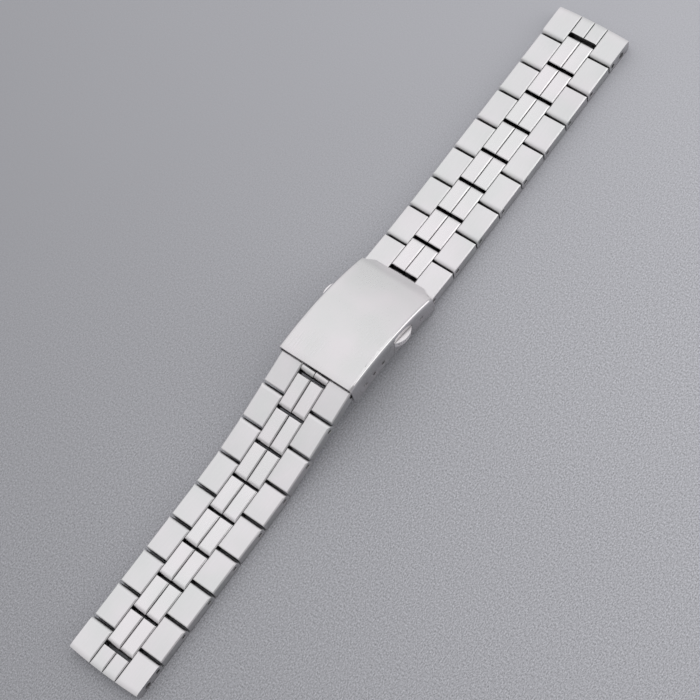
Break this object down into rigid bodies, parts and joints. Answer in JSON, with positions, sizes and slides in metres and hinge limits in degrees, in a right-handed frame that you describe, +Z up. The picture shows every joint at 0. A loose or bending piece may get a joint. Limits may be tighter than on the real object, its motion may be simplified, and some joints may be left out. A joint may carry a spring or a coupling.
{
  "type": "watch bracelet",
  "caption": "Flat steel watch bracelet of hinged H-shaped links with two outer rows and two centre bars, straight end pieces and an arched folding clasp with side pushers.",
  "frame": {"origin": "on the table, under the middle of the bracelet as it lies open", "axes": "+X along the bracelet from the half joined by the connector to the half on the base blade, +Y across it, +Z up"},
  "size_m": [0.1772, 0.0214, 0.0112],
  "materials": {
    "outer_link_steel": "satin, brushed along the bracelet",
    "centre_link_steel": "satin, brushed along the bracelet",
    "cover_steel": "finely brushed along the bracelet, bright shoulders",
    "pusher_steel": "satin",
    "blade_steel": "semi-bright, rolled sheet",
    "pin_steel": "turned",
    "spring_steel": "drawn wire"
  },
  "bodies": {
    "cover": {"clasp_cover": "cover_steel", "pusher_spring_left": "spring_steel", "pusher_spring_right": "spring_steel"},
    "connector": {"connector": "centre_link_steel", "connector_pins": "pin_steel"},
    "middle_blade": {"middle_blade": "blade_steel", "blade_pins": "pin_steel"},
    "base_blade": {"base_blade": "blade_steel"},
    "left_link_1": {"outer_links_left_1": "outer_link_steel", "centre_links_left_1": "centre_link_steel", "link_pin_left_1": "pin_steel"},
    "left_link_2": {"outer_links_left_2": "outer_link_steel", "centre_links_left_2": "centre_link_steel", "link_pin_left_2": "pin_steel"},
    "left_link_3": {"outer_links_left_3": "outer_link_steel", "centre_links_left_3": "centre_link_steel", "link_pin_left_3": "pin_steel"},
    "left_link_4": {"outer_links_left_4": "outer_link_steel", "centre_links_left_4": "centre_link_steel", "link_pin_left_4": "pin_steel"},
    "left_link_5": {"outer_links_left_5": "outer_link_steel", "centre_links_left_5": "centre_link_steel", "link_pin_left_5": "pin_steel"},
    "left_link_6": {"outer_links_left_6": "outer_link_steel", "centre_links_left_6": "centre_link_steel", "link_pin_left_6": "pin_steel"},
    "left_link_7": {"outer_links_left_7": "outer_link_steel", "centre_links_left_7": "centre_link_steel", "link_pin_left_7": "pin_steel"},
    "left_link_8": {"outer_links_left_8": "outer_link_steel", "centre_links_left_8": "centre_link_steel", "link_pin_left_8": "pin_steel"},
    "end_left": {"end_piece_left": "outer_link_steel"},
    "pusher_left": {"pusher_left": "pusher_steel"},
    "right_link_1": {"outer_links_right_1": "outer_link_steel", "centre_links_right_1": "centre_link_steel", "link_pin_right_1": "pin_steel"},
    "right_link_2": {"outer_links_right_2": "outer_link_steel", "centre_links_right_2": "centre_link_steel", "link_pin_right_2": "pin_steel"},
    "right_link_3": {"outer_links_right_3": "outer_link_steel", "centre_links_right_3": "centre_link_steel", "link_pin_right_3": "pin_steel"},
    "right_link_4": {"outer_links_right_4": "outer_link_steel", "centre_links_right_4": "centre_link_steel", "link_pin_right_4": "pin_steel"},
    "right_link_5": {"outer_links_right_5": "outer_link_steel", "centre_links_right_5": "centre_link_steel", "link_pin_right_5": "pin_steel"},
    "right_link_6": {"outer_links_right_6": "outer_link_steel", "centre_links_right_6": "centre_link_steel", "link_pin_right_6": "pin_steel"},
    "right_link_7": {"outer_links_right_7": "outer_link_steel", "centre_links_right_7": "centre_link_steel", "link_pin_right_7": "pin_steel"},
    "right_link_8": {"outer_links_right_8": "outer_link_steel", "centre_links_right_8": "centre_link_steel", "link_pin_right_8": "pin_steel"},
    "end_right": {"end_piece_right": "outer_link_steel"},
    "pusher_right": {"pusher_right": "pusher_steel"}
  },
  "joints": [
    {"name": "connector_swing", "type": "hinge", "parent": "cover", "child": "connector", "pos_m": [-0.01046, 0, 0.0066], "axis": [0, 1, 0], "range_deg": [-25, 8]},
    {"name": "left_link_1_swing", "type": "hinge", "parent": "connector", "child": "left_link_1", "pos_m": [-0.01451, 0, 0.00768], "axis": [0, 1, 0], "range_deg": [-25, 10]},
    {"name": "left_link_2_swing", "type": "hinge", "parent": "left_link_1", "child": "left_link_2", "pos_m": [-0.02272, 0, 0.00548], "axis": [0, 1, 0], "range_deg": [-26, 9]},
    {"name": "left_link_3_swing", "type": "hinge", "parent": "left_link_2", "child": "left_link_3", "pos_m": [-0.03097, 0, 0.00342], "axis": [0, 1, 0], "range_deg": [-29, 6]},
    {"name": "left_link_4_swing", "type": "hinge", "parent": "left_link_3", "child": "left_link_4", "pos_m": [-0.03934, 0, 0.00194], "axis": [0, 1, 0], "range_deg": [-32, 3]},
    {"name": "left_link_5_swing", "type": "hinge", "parent": "left_link_4", "child": "left_link_5", "pos_m": [-0.04783, 0, 0.0015], "axis": [0, 1, 0], "range_deg": [-28, 7]},
    {"name": "left_link_6_swing", "type": "hinge", "parent": "left_link_5", "child": "left_link_6", "pos_m": [-0.05633, 0, 0.0015], "axis": [0, 1, 0], "range_deg": [-25, 10]},
    {"name": "left_link_7_swing", "type": "hinge", "parent": "left_link_6", "child": "left_link_7", "pos_m": [-0.06483, 0, 0.0015], "axis": [0, 1, 0], "range_deg": [-25, 10]},
    {"name": "left_link_8_swing", "type": "hinge", "parent": "left_link_7", "child": "left_link_8", "pos_m": [-0.07333, 0, 0.0015], "axis": [0, 1, 0], "range_deg": [-25, 10]},
    {"name": "end_left_swing", "type": "hinge", "parent": "left_link_8", "child": "end_left", "pos_m": [-0.08183, 0, 0.0015], "axis": [0, 1, 0], "range_deg": [-25, 10]},
    {"name": "middle_blade_swing", "type": "hinge", "parent": "cover", "child": "middle_blade", "pos_m": [0.00859, 0, 0.00395], "axis": [0, -1, 0], "range_deg": [0, 150]},
    {"name": "base_blade_swing", "type": "hinge", "parent": "middle_blade", "child": "base_blade", "pos_m": [-0.01161, 0, 0.004], "axis": [0, -1, 0], "range_deg": [-150, 0]},
    {"name": "right_link_1_swing", "type": "hinge", "parent": "base_blade", "child": "right_link_1", "pos_m": [0.01387, 0, 0.00269], "axis": [0, 1, 0], "range_deg": [-10, 25]},
    {"name": "right_link_2_swing", "type": "hinge", "parent": "right_link_1", "child": "right_link_2", "pos_m": [0.02234, 0, 0.00202], "axis": [0, 1, 0], "range_deg": [-8, 27]},
    {"name": "right_link_3_swing", "type": "hinge", "parent": "right_link_2", "child": "right_link_3", "pos_m": [0.03083, 0, 0.00165], "axis": [0, 1, 0], "range_deg": [-8.5, 26.5]},
    {"name": "right_link_4_swing", "type": "hinge", "parent": "right_link_3", "child": "right_link_4", "pos_m": [0.03933, 0, 0.0015], "axis": [0, 1, 0], "range_deg": [-9, 26]},
    {"name": "right_link_5_swing", "type": "hinge", "parent": "right_link_4", "child": "right_link_5", "pos_m": [0.04783, 0, 0.0015], "axis": [0, 1, 0], "range_deg": [-10, 25]},
    {"name": "right_link_6_swing", "type": "hinge", "parent": "right_link_5", "child": "right_link_6", "pos_m": [0.05633, 0, 0.0015], "axis": [0, 1, 0], "range_deg": [-10, 25]},
    {"name": "right_link_7_swing", "type": "hinge", "parent": "right_link_6", "child": "right_link_7", "pos_m": [0.06483, 0, 0.0015], "axis": [0, 1, 0], "range_deg": [-10, 25]},
    {"name": "right_link_8_swing", "type": "hinge", "parent": "right_link_7", "child": "right_link_8", "pos_m": [0.07333, 0, 0.0015], "axis": [0, 1, 0], "range_deg": [-10, 25]},
    {"name": "end_right_swing", "type": "hinge", "parent": "right_link_8", "child": "end_right", "pos_m": [0.08183, 0, 0.0015], "axis": [0, 1, 0], "range_deg": [-10, 25]},
    {"name": "pusher_left_press", "type": "slide", "parent": "cover", "child": "pusher_left", "axis": [0, -1, 0], "range_m": [0, 0.0005], "stiffness_N_per_m": 400, "springref_m": -0.002, "deforming": ["pusher_spring_left"]},
    {"name": "pusher_right_press", "type": "slide", "parent": "cover", "child": "pusher_right", "axis": [0, 1, 0], "range_m": [0, 0.0005], "stiffness_N_per_m": 400, "springref_m": -0.002, "deforming": ["pusher_spring_right"]}
  ],
  "couplings": [
    {"joint": "base_blade_swing", "follows": "middle_blade_swing", "ratio": -1}
  ]
}
